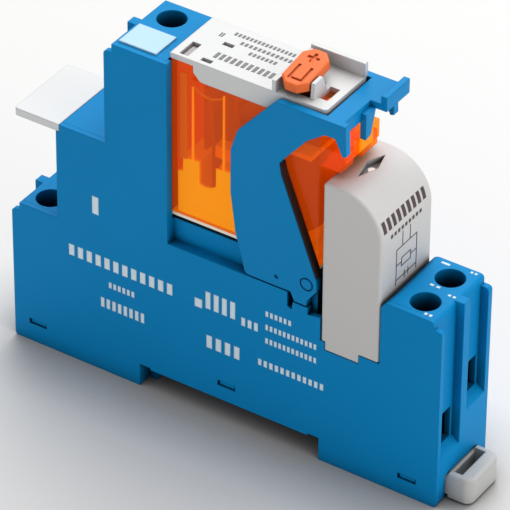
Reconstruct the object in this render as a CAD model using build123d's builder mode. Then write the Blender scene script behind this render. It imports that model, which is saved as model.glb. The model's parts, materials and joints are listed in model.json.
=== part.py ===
from build123d import *
import os

# Plug-in relay module for a 35 mm mounting rail: screw-terminal socket, relay, retaining clip,
# coil protection module, marker tag and rail latch.
# Frame: the origin is the centre of the face that seats on the rail. X runs across the rail,
# Y along it and Z away from it. All sizes are in millimetres.

os.makedirs("parts", exist_ok=True)

# ---------------------------------------------------------------- driving dimensions
WIDTH = 15.8  # pitch of one module along the rail
HALF = WIDTH / 2
COVER = 1.0  # side cover thickness
SEAT = 18.2  # half the length of the rail notch
SEAT_FLAT, RELIEF = 16.0, 0.4  # the seat is relieved near the rail's hooked edges
FOOT = 4.2  # the feet reach this far past the rail seat
X_LEFT, X_RIGHT = -44.5, 41.4
X_MIDDLE, X_UPPER = -34.85, -24.8
Z_LOWER, Z_MIDDLE, Z_UPPER, Z_RIGHT = 24.5, 44.0, 64.3, 33.8
RIB = 1.6  # the end ribs stand this far proud of the terminal faces
TAG, TAG_SEAT = 1.5, 0.7  # marker tag thickness, and the length of its seat on the middle step
X_BAY, Z_BAY = -12.3, 28.3  # relay bay: left wall and floor
Z_PLATFORM, PLATFORM_HALF = 32.6, 5.9  # raised floor under the relay
POST_LEFT, POST_RIGHT, Z_POST = 12.5, 16.5, 33.0  # post that carries the clip pivot
X_BLOCK, Z_POCKET, Z_LIP = 29.7, 19.3, 21.0  # coil module pocket
INNER = 6.2  # half width of relay and post
ARM = 6.55  # inner face of the clip arms
PIVOT_X, PIVOT_Z = 14.9, 30.7
PIN_R, PIN_PLAY = 1.2, 0.06

TERMINAL_Y = 3.85
BORE_R = 2.6  # screwdriver guide
ENTRY_W, ENTRY_H = 4.6, 6.2  # wire entry
# name, screw x, y, outward side, wire entry floor z
TERMINALS = (
    ("coil_a", 35.7, -TERMINAL_Y, 1, 6.4),
    ("coil_b", 35.7, TERMINAL_Y, 1, 12.2),
    ("common", -39.2, -TERMINAL_Y, -1, 2.8),
    ("normally_closed", -39.2, TERMINAL_Y, -1, 6.0),
    ("normally_open", -19.2, TERMINAL_Y, -1, 46.2),
)
CHAMBER_TOP = 13.8  # chamber height above the wire entry floor
# relay pins: terminal name to x and y
PINS = {
    "coil_a": (9.6, -TERMINAL_Y),
    "coil_b": (9.6, TERMINAL_Y),
    "common": (-5.1, -TERMINAL_Y),
    "normally_closed": (-2.4, TERMINAL_Y),
    "normally_open": (-8.4, TERMINAL_Y),
}
PIN_LOW, PIN_T, PIN_W = 26.6, 0.8, 2.2
STRIP_T, STRIP_H = 0.8, 2.4  # contact strips of the socket
RUN_Z = {"coil_a": 8.0, "coil_b": 12.0, "common": 6.0, "normally_closed": 4.8, "normally_open": 15.0}
MODULE_PINS = (20.9, 23.9)


def side_face(points, y, rounds=()):
    """Closed X-Z outline on the plane at y, which extrudes towards -Y; rounds holds (x, z, radius)."""
    with BuildSketch(Plane.XZ.offset(-y)) as face:
        with BuildLine():
            Polyline(*points, close=True)
        make_face()
        for x, z, radius in rounds:
            fillet(face.vertices().sort_by_distance((x, z, 0))[0], radius)
    return face.sketch


def box_between(low, high, mode=Mode.ADD):
    """Box between two corners, joined to the part that is being built."""
    size = [h - l for l, h in zip(low, high)]
    centre = [(h + l) / 2 for l, h in zip(low, high)]
    with Locations(tuple(centre)):
        Box(*size, mode=mode)


def block_of(name):
    """End face x and top z of the terminal block that holds a terminal."""
    if name.startswith("coil"):
        return X_RIGHT, Z_RIGHT
    if name == "normally_open":
        return X_UPPER, Z_UPPER
    return X_LEFT, Z_LOWER


# ---------------------------------------------------------------- socket outlines
LEFT_STEPS = [
    (X_BAY, Z_BAY),
    (X_BAY, Z_UPPER),
    (X_UPPER + RIB, Z_UPPER),
    (X_UPPER + RIB, Z_UPPER - RIB),
    (X_UPPER, Z_UPPER - RIB),
    (X_UPPER, Z_MIDDLE),
    (X_MIDDLE + TAG_SEAT, Z_MIDDLE),
    (X_MIDDLE + TAG_SEAT, Z_MIDDLE - TAG),
    (X_MIDDLE, Z_MIDDLE - TAG),
    (X_MIDDLE, Z_LOWER),
    (X_LEFT + RIB, Z_LOWER),
    (X_LEFT + RIB, Z_LOWER - RIB),
    (X_LEFT, Z_LOWER - RIB),
]
RAIL_SIDE = [
    (X_LEFT, -FOOT),
    (-SEAT, -FOOT),
    (-SEAT, RELIEF),
    (-SEAT_FLAT, RELIEF),
    (-SEAT_FLAT, 0),
    (SEAT_FLAT, 0),
    (SEAT_FLAT, RELIEF),
    (SEAT, RELIEF),
    (SEAT, -FOOT),
    (X_RIGHT, -FOOT),
    (X_RIGHT, Z_RIGHT - RIB),
    (X_RIGHT - RIB, Z_RIGHT - RIB),
    (X_RIGHT - RIB, Z_RIGHT),
    (X_BLOCK, Z_RIGHT),
]
NOTCH_LEFT, NOTCH_RIGHT = 19.0, 25.7
MODULE_SEAT = [
    (X_BLOCK, Z_LIP),
    (NOTCH_RIGHT, Z_LIP),
    (NOTCH_RIGHT, Z_POCKET),
    (NOTCH_LEFT, Z_POCKET),
    (NOTCH_LEFT, Z_LIP),
]
POST_OUTLINE = [
    (POST_RIGHT, Z_LIP),
    (POST_RIGHT, Z_POST),
    (POST_LEFT, Z_POST),
    (POST_LEFT, Z_BAY),
]
SLOT_LEFT = 11.6
FOOT_SLOT = [  # edge of the side walls round the foot of the clip
    (18.1, Z_LIP),
    (18.1, 25.6),
    (15.6, 25.2),
    (15.6, 26.6),
    (12.7, 26.6),
    (12.5, 25.0),
    (SLOT_LEFT, 25.4),
    (SLOT_LEFT, Z_BAY),
]
CORNER = 0.7
OUTLINE_ROUNDS = (
    (X_RIGHT - RIB, Z_RIGHT, CORNER),
    (X_BLOCK, Z_RIGHT, 1.6),
    (X_RIGHT, Z_RIGHT - RIB, CORNER),
    (X_LEFT, Z_LOWER - RIB, CORNER),
    (X_UPPER, Z_UPPER - RIB, CORNER),
    (X_LEFT, -FOOT, CORNER),
    (X_RIGHT, -FOOT, CORNER),
)

# ---------------------------------------------------------------- socket housing
housing_face = side_face(RAIL_SIDE + MODULE_SEAT + POST_OUTLINE + LEFT_STEPS, HALF, OUTLINE_ROUNDS)
FLOOR_BAY, FLOOR_POCKET = 26.4, 17.3  # undersides of the bay floor and the module pocket
PLATFORM_UNDER, FORK_ROOM = 31.0, 5.2  # space for the forks under the platform
HOLLOW_RIGHT = -14.1  # the hollow of the upper block ends here
END_RECESS = -13.1  # the end of the relay nests in the upper block
RAIL_WALL = 2.0  # wall above the rail seat
MID_RIB = 0.95  # half thickness of the wall between the two terminal rows
FAR_WALL = 6.75  # inner face of the far side wall
COVER_FACE = -HALF + COVER  # the side cover closes the housing here
LATCH_HALF, LATCH_ROOF = 5.1, 0.8
LATCH_LIP_HALF, LATCH_LIP = 4.3, -3.4  # lips that keep the latch in its channel
SPRING_LEFT, SPRING_RIGHT = 27.8, 36.8  # ends of the latch spring
SNAP_TABS = ((-39.6, 0.0), (-0.4, 3.4), (35.6, -0.5))
SNAP_LENGTH, SNAP_HEIGHT = 3.6, 1.1
near_channel = (COVER_FACE, -MID_RIB)
far_channel = (MID_RIB, FAR_WALL)

with BuildPart() as socket_housing:
    extrude(housing_face, amount=HALF - COVER_FACE)
    # hollow under the relay bay and the steps, then under the coil module pocket
    box_between((-31.8, COVER_FACE, RAIL_WALL), (HOLLOW_RIGHT, FAR_WALL, 41.6), mode=Mode.SUBTRACT)
    box_between((HOLLOW_RIGHT - 0.1, COVER_FACE, RAIL_WALL), (11.0, FAR_WALL, FLOOR_BAY), mode=Mode.SUBTRACT)
    box_between((10.9, COVER_FACE, RAIL_WALL), (31.0, FAR_WALL, FLOOR_POCKET), mode=Mode.SUBTRACT)
    box_between((-22.2, COVER_FACE, 41.5), (HOLLOW_RIGHT, -MID_RIB, 62.6), mode=Mode.SUBTRACT)
    # platform under the relay, with the forks of the contact strips beneath it
    box_between((X_BAY - 0.1, -PLATFORM_HALF, Z_BAY - 0.1), (POST_LEFT + 0.1, PLATFORM_HALF, Z_PLATFORM))
    box_between(
        (-10.9, -FORK_ROOM, FLOOR_BAY - 0.1), (11.0, FORK_ROOM, PLATFORM_UNDER), mode=Mode.SUBTRACT
    )
    box_between(
        (END_RECESS, -INNER - 0.2, Z_PLATFORM), (X_BAY + 0.1, INNER + 0.2, Z_UPPER + 0.1), mode=Mode.SUBTRACT
    )
    for name, x, y, side, floor in TERMINALS:
        face_x, top_z = block_of(name)
        low_y, high_y = near_channel if y < 0 else far_channel
        chamber = sorted((x - side * 5.2, x + side * 3.0))
        box_between(
            (chamber[0], low_y, floor - 1.5), (chamber[1], high_y, floor + CHAMBER_TOP), mode=Mode.SUBTRACT
        )
        entry = sorted((x, face_x))
        box_between(
            (entry[0], y - ENTRY_W / 2, floor),
            (entry[1], y + ENTRY_W / 2, floor + ENTRY_H),
            mode=Mode.SUBTRACT,
        )
        with BuildSketch(Plane.XY.offset(floor)):
            with Locations((x, y)):
                Circle(BORE_R)
        extrude(amount=top_z - floor, mode=Mode.SUBTRACT)
        # recessed end face above a sloped ledge that guides the wire in
        outer, inner = face_x + side * 0.1, face_x - side * RIB
        ledge = floor - 1.4 if name != "normally_open" else Z_MIDDLE
        start = floor if name != "normally_open" else Z_MIDDLE
        channel = [(inner, start), (outer, ledge), (outer, top_z), (inner, top_z)]
        extrude(side_face(channel, high_y), amount=high_y - low_y, mode=Mode.SUBTRACT)
    # way through for the contact strips of the two lower left terminals
    for name in ("common", "normally_closed"):
        y = PINS[name][1]
        low_z, high_z = RUN_Z[name] - 0.6, RUN_Z[name] + STRIP_H + 0.6
        box_between((-34.1, y - 1.2, low_z), (-31.7, y + 1.2, high_z), mode=Mode.SUBTRACT)
    # plain recessed faces between the ribs of the middle and upper steps
    for low_y, high_y in (near_channel, far_channel):
        box_between(
            (X_MIDDLE - 0.1, low_y, Z_LOWER),
            (X_MIDDLE + RIB, high_y, Z_MIDDLE - TAG - 0.9),
            mode=Mode.SUBTRACT,
        )
    box_between(
        (X_UPPER - 0.1, near_channel[0], Z_MIDDLE),
        (X_UPPER + RIB, near_channel[1], Z_UPPER - RIB),
        mode=Mode.SUBTRACT,
    )
    # the ribs between two terminal rows rise to the top of their block
    for outer, inward, top_z in (
        (X_LEFT, 1, Z_LOWER),
        (X_UPPER, 1, Z_UPPER),
        (X_RIGHT, -1, Z_RIGHT),
    ):
        near, far = sorted((outer, outer + inward * (RIB + 1)))
        box_between((near, -MID_RIB, top_z - RIB - 1), (far, MID_RIB, top_z))
    # way down from the upper terminal
    box_between((-18.4, MID_RIB, 41.4), (HOLLOW_RIGHT, FAR_WALL, 46.0), mode=Mode.SUBTRACT)
    # side slots for the feet of the clip, and the low wall beside the coil module on the far side
    slot = [(SLOT_LEFT, Z_POST + 1), *reversed(FOOT_SLOT[2:]), (18.1, 25.2), (18.1, Z_POST + 1)]
    for low_y, high_y in ((COVER_FACE, -INNER), (INNER, HALF)):
        extrude(side_face(slot, high_y), amount=high_y - low_y, mode=Mode.SUBTRACT)
    box_between((POST_RIGHT - 0.1, HALF - COVER, Z_LIP - 0.1), (18.1, HALF, 25.3))
    # blind pivot holes in the post
    for side in (-1, 1):
        with BuildSketch(Plane.XZ.offset(-side * INNER)):
            with Locations((PIVOT_X, PIVOT_Z)):
                Circle(PIN_R + PIN_PLAY)
        extrude(amount=side * 1.8, mode=Mode.SUBTRACT)
    # slots for the relay pins and the coil module pins
    for x, y in PINS.values():
        box_between(
            (x - 0.8, y - 1.5, PLATFORM_UNDER - 0.1), (x + 0.8, y + 1.5, Z_PLATFORM + 0.1), mode=Mode.SUBTRACT
        )
    for x in MODULE_PINS:
        box_between((x - 0.8, -1.5, FLOOR_POCKET - 0.1), (x + 0.8, 1.5, Z_POCKET + 0.1), mode=Mode.SUBTRACT)
    # channel for the rail latch in the right foot, and the fixed rail hook on the left
    for half_width, low_z in ((LATCH_HALF, LATCH_LIP), (LATCH_LIP_HALF, -FOOT - 0.1)):
        box_between(
            (SEAT - 0.1, -half_width, low_z), (X_RIGHT + 0.1, half_width, LATCH_ROOF), mode=Mode.SUBTRACT
        )
    box_between((SPRING_RIGHT + 0.2, -1.8, -2.8), (SPRING_RIGHT + 1.4, 1.8, LATCH_ROOF))
    box_between((-SEAT - 0.1, -5.0, -FOOT), (-SEAT + 1.6, 5.0, -1.5))
    # slot that holds the tongue of the marker tag
    box_between((X_MIDDLE + TAG_SEAT - 0.1, -1.25, 42.4), (-24.0, 1.25, 43.2), mode=Mode.SUBTRACT)
    # snap tabs that hold the side cover, each on solid ground
    for x, z in SNAP_TABS:
        box_between(
            (x - SNAP_LENGTH / 2, COVER_FACE, z - 1.5), (x + SNAP_LENGTH / 2, COVER_FACE + 1.3, z + 1.0)
        )
        box_between(
            (x - SNAP_LENGTH / 2 + 0.3, -HALF + 0.3, z - SNAP_HEIGHT / 2 + 0.2),
            (x + SNAP_LENGTH / 2 - 0.3, COVER_FACE, z + SNAP_HEIGHT / 2 - 0.2),
        )
socket_housing.part.label = "socket_housing"
export_step(socket_housing.part, "parts/socket_housing.step")

# ---------------------------------------------------------------- socket side cover
cover_face = side_face(RAIL_SIDE + MODULE_SEAT + FOOT_SLOT + LEFT_STEPS, COVER_FACE, OUTLINE_ROUNDS)
with BuildPart() as socket_side_cover:
    extrude(cover_face, amount=COVER)
    for x, z in SNAP_TABS:
        box_between(
            (x - SNAP_LENGTH / 2, -HALF - 0.1, z - SNAP_HEIGHT / 2),
            (x + SNAP_LENGTH / 2, COVER_FACE + 0.1, z + SNAP_HEIGHT / 2),
            mode=Mode.SUBTRACT,
        )
socket_side_cover.part.label = "socket_side_cover"
export_step(socket_side_cover.part, "parts/socket_side_cover.step")

# ---------------------------------------------------------------- terminal screws, clamp cages
CAGE_L, CAGE_W, CAGE_WALL = 5.0, 5.0, 0.55
TONGUE_Z, TONGUE_T = 5.0, 0.9  # contact strip tongue above the entry floor
SCREW_R, SCREW_PLAY = 1.42, 0.08
HEAD_R, HEAD_Z, HEAD_T = 2.2, 11.4, 2.0


def terminal_screw(x, y, floor):
    """Slotted clamp screw whose tip bears on the contact strip's tongue."""
    with BuildPart() as screw:
        with Locations((x, y, floor + TONGUE_Z + TONGUE_T + 0.1)):
            Cylinder(
                SCREW_R, HEAD_Z - TONGUE_Z - TONGUE_T - 0.1, align=(Align.CENTER, Align.CENTER, Align.MIN)
            )
        with Locations((x, y, floor + HEAD_Z)):
            Cylinder(HEAD_R, HEAD_T, align=(Align.CENTER, Align.CENTER, Align.MIN))
        chamfer(screw.edges().sort_by(Axis.Z)[-1], 0.3)
        for length, width in ((2 * HEAD_R + 1, 0.7), (0.7, 2.4)):
            box_between(
                (x - length / 2, y - width / 2, floor + HEAD_Z + 0.9),
                (x + length / 2, y + width / 2, floor + HEAD_Z + HEAD_T + 0.1),
                mode=Mode.SUBTRACT,
            )
    return screw


def clamp_cage(x, y, floor):
    """Rising cage: the screw's thread lifts it, and it presses the wire up against the tongue."""
    with BuildPart() as cage:
        box_between(
            (x - CAGE_L / 2, y - CAGE_W / 2, floor - 0.9), (x + CAGE_L / 2, y + CAGE_W / 2, floor + 8.6)
        )
        box_between(
            (x - CAGE_L, y - CAGE_W / 2 + CAGE_WALL, floor + 0.1),
            (x + CAGE_L, y + CAGE_W / 2 - CAGE_WALL, floor + 6.7),
            mode=Mode.SUBTRACT,
        )
        with Locations((x, y, floor + 7.6)):
            Cylinder(SCREW_R + SCREW_PLAY, 4, mode=Mode.SUBTRACT)
    return cage


for name, x, y, side, floor in TERMINALS:
    screw = terminal_screw(x, y, floor)
    screw.part.label = f"terminal_screw_{name}"
    export_step(screw.part, f"parts/terminal_screw_{name}.step")
    cage = clamp_cage(x, y, floor)
    cage.part.label = f"clamp_cage_{name}"
    export_step(cage.part, f"parts/clamp_cage_{name}.step")

# ---------------------------------------------------------------- contact strips of the socket
FORK_TOP, FORK_GAP, FORK_T = 30.3, 1.0, 0.5
FORK_BASE = 24.4


def contact_strip(name, x, y, side, floor, run_z):
    """Strip from a clamp cage to the spring fork that takes a relay pin."""
    pin_x, _ = PINS[name]
    tongue_z = floor + TONGUE_Z
    inner_x = x - side * 4.6
    with BuildPart() as strip:
        # flat tongue inside the cage, then a riser standing on edge beside it
        tongue = sorted((inner_x, x + side * 2.3))
        box_between((tongue[0], y - 1.7, tongue_z), (tongue[1], y + 1.7, tongue_z + TONGUE_T))
        riser = sorted((inner_x, inner_x + side * 1.4))
        box_between(
            (riser[0], y - STRIP_T / 2, min(run_z, tongue_z)),
            (riser[1], y + STRIP_T / 2, max(run_z + STRIP_H, tongue_z + TONGUE_T)),
        )
        run = sorted((inner_x, pin_x))
        box_between((run[0] - 1.2, y - STRIP_T / 2, run_z), (run[1] + 1.2, y + STRIP_T / 2, run_z + STRIP_H))
        # upright to the fork, whose two leaves grip the pin along X
        box_between((pin_x - 1.2, y - STRIP_T / 2, run_z), (pin_x + 1.2, y + STRIP_T / 2, FORK_BASE))
        box_between((pin_x - 1.2, y - 1.2, FORK_BASE - 0.8), (pin_x + 1.2, y + 1.2, FORK_BASE))
        for leaf in (-1, 1):
            leaf_x = sorted((pin_x + leaf * FORK_GAP / 2, pin_x + leaf * (FORK_GAP / 2 + FORK_T)))
            box_between((leaf_x[0], y - 1.2, FORK_BASE - 0.8), (leaf_x[1], y + 1.2, FORK_TOP))
    return strip


for name, x, y, side, floor in TERMINALS:
    strip = contact_strip(name, x, y, side, floor, RUN_Z[name])
    strip.part.label = f"contact_strip_{name}"
    export_step(strip.part, f"parts/contact_strip_{name}.step")

# ---------------------------------------------------------------- label plate on the upper block
with BuildPart() as label_plate:
    box_between((-22.6, -6.6, Z_UPPER), (-15.2, -0.6, Z_UPPER + 0.3))
label_plate.part.label = "label_plate"
export_step(label_plate.part, "parts/label_plate.step")

# ---------------------------------------------------------------- marker tag
TAG_LEFT, TONGUE_END = -43.4, -24.2
with BuildPart() as marker_tag:
    tag_right = X_MIDDLE + TAG_SEAT - 0.1
    box_between((TAG_LEFT, -HALF + 0.1, Z_MIDDLE - TAG + 0.05), (tag_right, HALF - 0.1, Z_MIDDLE))
    fillet(marker_tag.edges().filter_by(Axis.Z).group_by(Axis.X)[0], 0.5)
    box_between((tag_right - 0.1, -1.1, Z_MIDDLE - TAG + 0.05), (TONGUE_END, 1.1, 43.1))
marker_tag.part.label = "marker_tag"
export_step(marker_tag.part, "parts/marker_tag.step")

# ---------------------------------------------------------------- rail latch and its spring
LATCH_PLAY = 0.3
LATCH_END, LATCH_NOSE = 46.2, 16.4
GRIP_LEFT, GRIP_LOW, GRIP_TOP = X_RIGHT + 0.4, -4.0, 1.2
slide_half, slide_low = LATCH_HALF - LATCH_PLAY, LATCH_LIP + LATCH_PLAY
with BuildPart() as rail_latch:
    box_between((GRIP_LEFT, -slide_half, GRIP_LOW), (LATCH_END, slide_half, GRIP_TOP))
    fillet(rail_latch.edges().filter_by(Axis.Z).group_by(Axis.X)[-1], 1.6)
    fillet(rail_latch.faces().sort_by(Axis.X)[-1].edges().filter_by(Axis.Y), 0.5)
    # finger recess, open towards the housing
    recess_half = slide_half - 1.1
    box_between(
        (GRIP_LEFT - 0.1, -recess_half, -2.2),
        (LATCH_END - 2.3, recess_half, GRIP_TOP + 0.1),
        mode=Mode.SUBTRACT,
    )
    # slide, its keel between the channel's lips, and the nose that grips the rail
    box_between((SEAT + 0.2, -slide_half, slide_low), (GRIP_LEFT + 0.1, slide_half, LATCH_ROOF - LATCH_PLAY))
    keel_half = LATCH_LIP_HALF - LATCH_PLAY
    box_between((LATCH_NOSE, -keel_half, -3.7), (GRIP_LEFT + 0.1, keel_half, slide_low + 0.1))
    box_between((LATCH_NOSE, -slide_half, slide_low), (SEAT + 0.3, slide_half, -1.4))
    # pocket for the spring, with room for the latch's travel
    box_between(
        (SPRING_LEFT - 0.2, -2.2, -FOOT), (SPRING_RIGHT + 1.8, 2.2, LATCH_ROOF), mode=Mode.SUBTRACT
    )
rail_latch.part.label = "rail_latch"
export_step(rail_latch.part, "parts/rail_latch.step")

SPRING_R, SPRING_WIRE = 1.25, 0.2
with BuildPart() as latch_spring:
    with BuildLine() as spring_wire:
        Helix(
            pitch=1.25,
            height=SPRING_RIGHT - SPRING_LEFT - 2 * SPRING_WIRE,
            radius=SPRING_R,
            center=(SPRING_LEFT + SPRING_WIRE, 0, -1.3),
            direction=(1, 0, 0),
        )
    with BuildSketch(Plane(origin=spring_wire.line @ 0, z_dir=spring_wire.line % 0)):
        Circle(SPRING_WIRE)
    sweep()
latch_spring.part.label = "latch_spring"
export_step(latch_spring.part, "parts/latch_spring.step")

# ---------------------------------------------------------------- retaining clip
CLIP_TOP, BAR_LEFT, CLIP_FRONT = 65.2, 18.0, 22.2
ARM_OUTLINE = [
    (3.3, 28.6),
    (1.3, 36.3),
    (0.3, 44.0),
    (0.3, 52.6),
    (1.6, 56.8),
    (8.9, CLIP_TOP),
    (CLIP_FRONT, CLIP_TOP),
    (22.4, 59.5),
    (21.7, 59.3),
    (20.3, 62.3),
    (18.3, 62.3),
    (15.0, 59.9),
    (9.7, 53.5),
    (10.1, 51.3),
    (17.2, 32.6),
    (17.3, 30.6),
    (15.4, 27.9),
    (15.3, 26.9),
    (13.0, 26.9),
    (12.2, 28.6),
]
ARM_ROUNDS = (
    (3.3, 28.6, 1.0),
    (1.3, 36.3, 3.0),
    (0.3, 52.6, 3.0),
    (1.6, 56.8, 3.0),
    (9.7, 53.5, 0.9),
    (8.9, CLIP_TOP, 1.5),
    (18.3, 62.3, 1.2),
    (15.0, 59.9, 3.0),
)
LEVER_END, LEVER_LOW, LIP_TOP = 24.4, 64.0, 66.7
with BuildPart() as retaining_clip:
    for near_y, far_y in ((-HALF, -ARM), (ARM, HALF)):
        extrude(side_face(ARM_OUTLINE, far_y, ARM_ROUNDS), amount=far_y - near_y)
    for side in (-1, 1):
        with BuildSketch(Plane.XZ.offset(-side * (HALF - 0.2))):
            with Locations((PIVOT_X, PIVOT_Z)):
                Circle(PIN_R)
        extrude(amount=side * (HALF - 0.2 - 4.6))
        # ring and dimple moulded in the outer face
        with BuildSketch(Plane.XZ.offset(-side * (HALF + 0.1))):
            with Locations((PIVOT_X + 0.4, PIVOT_Z + 0.6)):
                Circle(1.3)
                Circle(1.0, mode=Mode.SUBTRACT)
            with Locations((9.4, 30.5)):
                Circle(0.4)
        extrude(amount=side * 0.4, mode=Mode.SUBTRACT)
    # bar that joins the arms over the relay's end
    box_between((BAR_LEFT, -ARM - 0.1, 62.6), (20.4, ARM + 0.1, CLIP_TOP))
    box_between((20.3, -ARM - 0.1, 62.6), (21.3, 1.2, CLIP_TOP))
    # thumb lever on the far half, ending in a raised lip
    box_between((20.3, 1.0, LEVER_LOW), (LEVER_END, HALF, CLIP_TOP))
    box_between((LEVER_END - 1.1, 1.0, LEVER_LOW), (LEVER_END, HALF, LIP_TOP))
    # tapered middle claw
    with BuildSketch(Plane.YZ.offset(21.2)):
        with BuildLine():
            Polyline((-1.8, 64.2), (1.15, 64.2), (-0.3, 59.6), (-1.8, 59.3), close=True)
        make_face()
    extrude(amount=1.1)
retaining_clip.part.label = "retaining_clip"
export_step(retaining_clip.part, "parts/retaining_clip.step")

# ---------------------------------------------------------------- relay base
RELAY_LEFT, RELAY_RIGHT = -12.7, 16.5
Z_SKIRT, Z_CAP, CAP_T = 62.0, 65.7, 1.0
COVER_LOW, WALL = 34.1, 0.8
BASE_LOW = 33.4
OPEN_X, CLOSED_X, MOVING_X = -8.4, -2.4, -5.1
BLADE_T, BLADE_TOP, RIVET_Z = 0.6, 60.4, 57.5
HINGE_Z = 36.6
CAVITY_LEFT, CAVITY_RIGHT = RELAY_LEFT + WALL, RELAY_RIGHT - WALL
PEDESTALS = (  # left x, right x, top z: shoulders that hold the contact blades
    (CAVITY_LEFT + 0.2, -10.4, 42.3),
    (-10.5, -7.2, 45.9),
    (-3.6, -1.2, 46.2),
)

with BuildPart() as relay_base:
    box_between((RELAY_LEFT + 0.1, -6.1, BASE_LOW), (RELAY_RIGHT - 0.1, 6.1, COVER_LOW))
    box_between((RELAY_LEFT + 0.9, -5.3, COVER_LOW - 0.1), (CAVITY_RIGHT - 0.3, 5.3, COVER_LOW + 1.2))
    for low_x, high_x, top_z in PEDESTALS:
        box_between((low_x, -5.2, COVER_LOW + 1.0), (high_x, 5.2, top_z))
    # slots for the pins and the blades
    for name, (x, y) in PINS.items():
        box_between(
            (x - PIN_T / 2, y - 1.3, BASE_LOW - 0.1), (x + PIN_T / 2, y + 1.3, 36.0), mode=Mode.SUBTRACT
        )
    for x in (OPEN_X, CLOSED_X):
        box_between((x - BLADE_T / 2, -2.3, COVER_LOW), (x + BLADE_T / 2, 5.3, 47), mode=Mode.SUBTRACT)
relay_base.part.label = "relay_base"
export_step(relay_base.part, "parts/relay_base.step")

# ---------------------------------------------------------------- relay contacts and pins
RIVET_R, RIVET_T, CONTACT_GAP, TRAVEL = 1.6, 1.0, 0.1, 0.6


def relay_pin(x, y, top_z):
    """Blade pin that plugs into a fork of the socket, joined to the part that is being built."""
    low = (x - PIN_T / 2 + 0.05, y - PIN_W / 2, PIN_LOW)
    box_between(low, (x + PIN_T / 2 - 0.05, y + PIN_W / 2, top_z))


def fixed_contact(name, x, facing):
    """Fixed blade with its plug-in pin and the contact rivet on the face towards the moving blade."""
    _, pin_y = PINS[name]
    with BuildPart() as blade:
        box_between((x - BLADE_T / 2, -2.2, 34.4), (x + BLADE_T / 2, 5.1, BLADE_TOP))
        relay_pin(x, pin_y, 35.8)
        start = x + facing * BLADE_T / 2
        with BuildSketch(Plane.YZ.offset(start)):
            with Locations((0, RIVET_Z)):
                Circle(RIVET_R)
        extrude(amount=facing * RIVET_T)
    return blade


for name, x, facing in (("normally_open", OPEN_X, 1), ("normally_closed", CLOSED_X, -1)):
    blade = fixed_contact(name, x, facing)
    blade.part.label = f"fixed_contact_{name}"
    export_step(blade.part, f"parts/fixed_contact_{name}.step")

_, common_y = PINS["common"]
with BuildPart() as common_pin:
    relay_pin(MOVING_X, common_y, HINGE_Z - 0.8)
common_pin.part.label = "common_pin"
export_step(common_pin.part, "parts/common_pin.step")

rivet_half = (CLOSED_X - OPEN_X - BLADE_T - 2 * RIVET_T - TRAVEL - 2 * CONTACT_GAP) / 2
rivet_x = CLOSED_X - BLADE_T / 2 - RIVET_T - CONTACT_GAP - rivet_half
with BuildPart() as moving_contact:
    box_between((rivet_x - 0.2, -5.0, HINGE_Z - 0.4), (rivet_x + 0.2, 2.2, BLADE_TOP - 0.6))
    with BuildSketch(Plane.YZ.offset(rivet_x - rivet_half)):
        with Locations((0, RIVET_Z)):
            Circle(RIVET_R)
    extrude(amount=2 * rivet_half)
moving_contact.part.label = "moving_contact"
export_step(moving_contact.part, "parts/moving_contact.step")

# ---------------------------------------------------------------- coil, core, yoke
COIL_X, COIL_LOW, COIL_TOP = 8.4, 36.9, 54.6
FLANGE_X, FLANGE_Y, FLANGE_T = 5.6, 5.0, 0.9
CORE_R, BOBBIN_R, WINDING_R = 2.0, 2.8, 4.7
POLE_TOP = 55.8
YOKE_LEFT, YOKE_RIGHT = 0.8, 2.1

with BuildPart() as coil_bobbin:
    for z in (COIL_LOW, COIL_TOP - FLANGE_T):
        box_between((COIL_X - FLANGE_X, -FLANGE_Y, z), (COIL_X + FLANGE_X, FLANGE_Y, z + FLANGE_T))
    with Locations((COIL_X, 0, COIL_LOW)):
        Cylinder(BOBBIN_R, COIL_TOP - COIL_LOW, align=(Align.CENTER, Align.CENTER, Align.MIN))
        Cylinder(
            CORE_R, COIL_TOP - COIL_LOW, align=(Align.CENTER, Align.CENTER, Align.MIN), mode=Mode.SUBTRACT
        )
coil_bobbin.part.label = "coil_bobbin"
export_step(coil_bobbin.part, "parts/coil_bobbin.step")

with BuildPart() as coil_winding:
    with Locations((COIL_X, 0, COIL_LOW + FLANGE_T)):
        Cylinder(WINDING_R, COIL_TOP - COIL_LOW - 2 * FLANGE_T, align=(Align.CENTER, Align.CENTER, Align.MIN))
        Cylinder(
            BOBBIN_R,
            COIL_TOP - COIL_LOW - 2 * FLANGE_T,
            align=(Align.CENTER, Align.CENTER, Align.MIN),
            mode=Mode.SUBTRACT,
        )
coil_winding.part.label = "coil_winding"
export_step(coil_winding.part, "parts/coil_winding.step")

with BuildPart() as coil_core:
    with Locations((COIL_X, 0, COIL_LOW)):
        Cylinder(CORE_R, POLE_TOP - COIL_LOW, align=(Align.CENTER, Align.CENTER, Align.MIN))
    with Locations((COIL_X, 0, COIL_TOP)):
        Cylinder(3.4, POLE_TOP - COIL_TOP, align=(Align.CENTER, Align.CENTER, Align.MIN))
coil_core.part.label = "coil_core"
export_step(coil_core.part, "parts/coil_core.step")

with BuildPart() as yoke:
    box_between((YOKE_LEFT, -4.4, 35.6), (COIL_X + 4.0, 4.4, COIL_LOW))
    box_between((YOKE_LEFT, -4.4, 35.6), (YOKE_RIGHT, 4.4, 56.0))
yoke.part.label = "yoke"
export_step(yoke.part, "parts/yoke.step")

for name in ("coil_a", "coil_b"):
    pin_x, pin_y = PINS[name]
    with BuildPart() as coil_pin:
        relay_pin(pin_x, pin_y, 35.5)
    coil_pin.part.label = f"relay_pin_{name}"
    export_step(coil_pin.part, f"parts/relay_pin_{name}.step")

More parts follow.
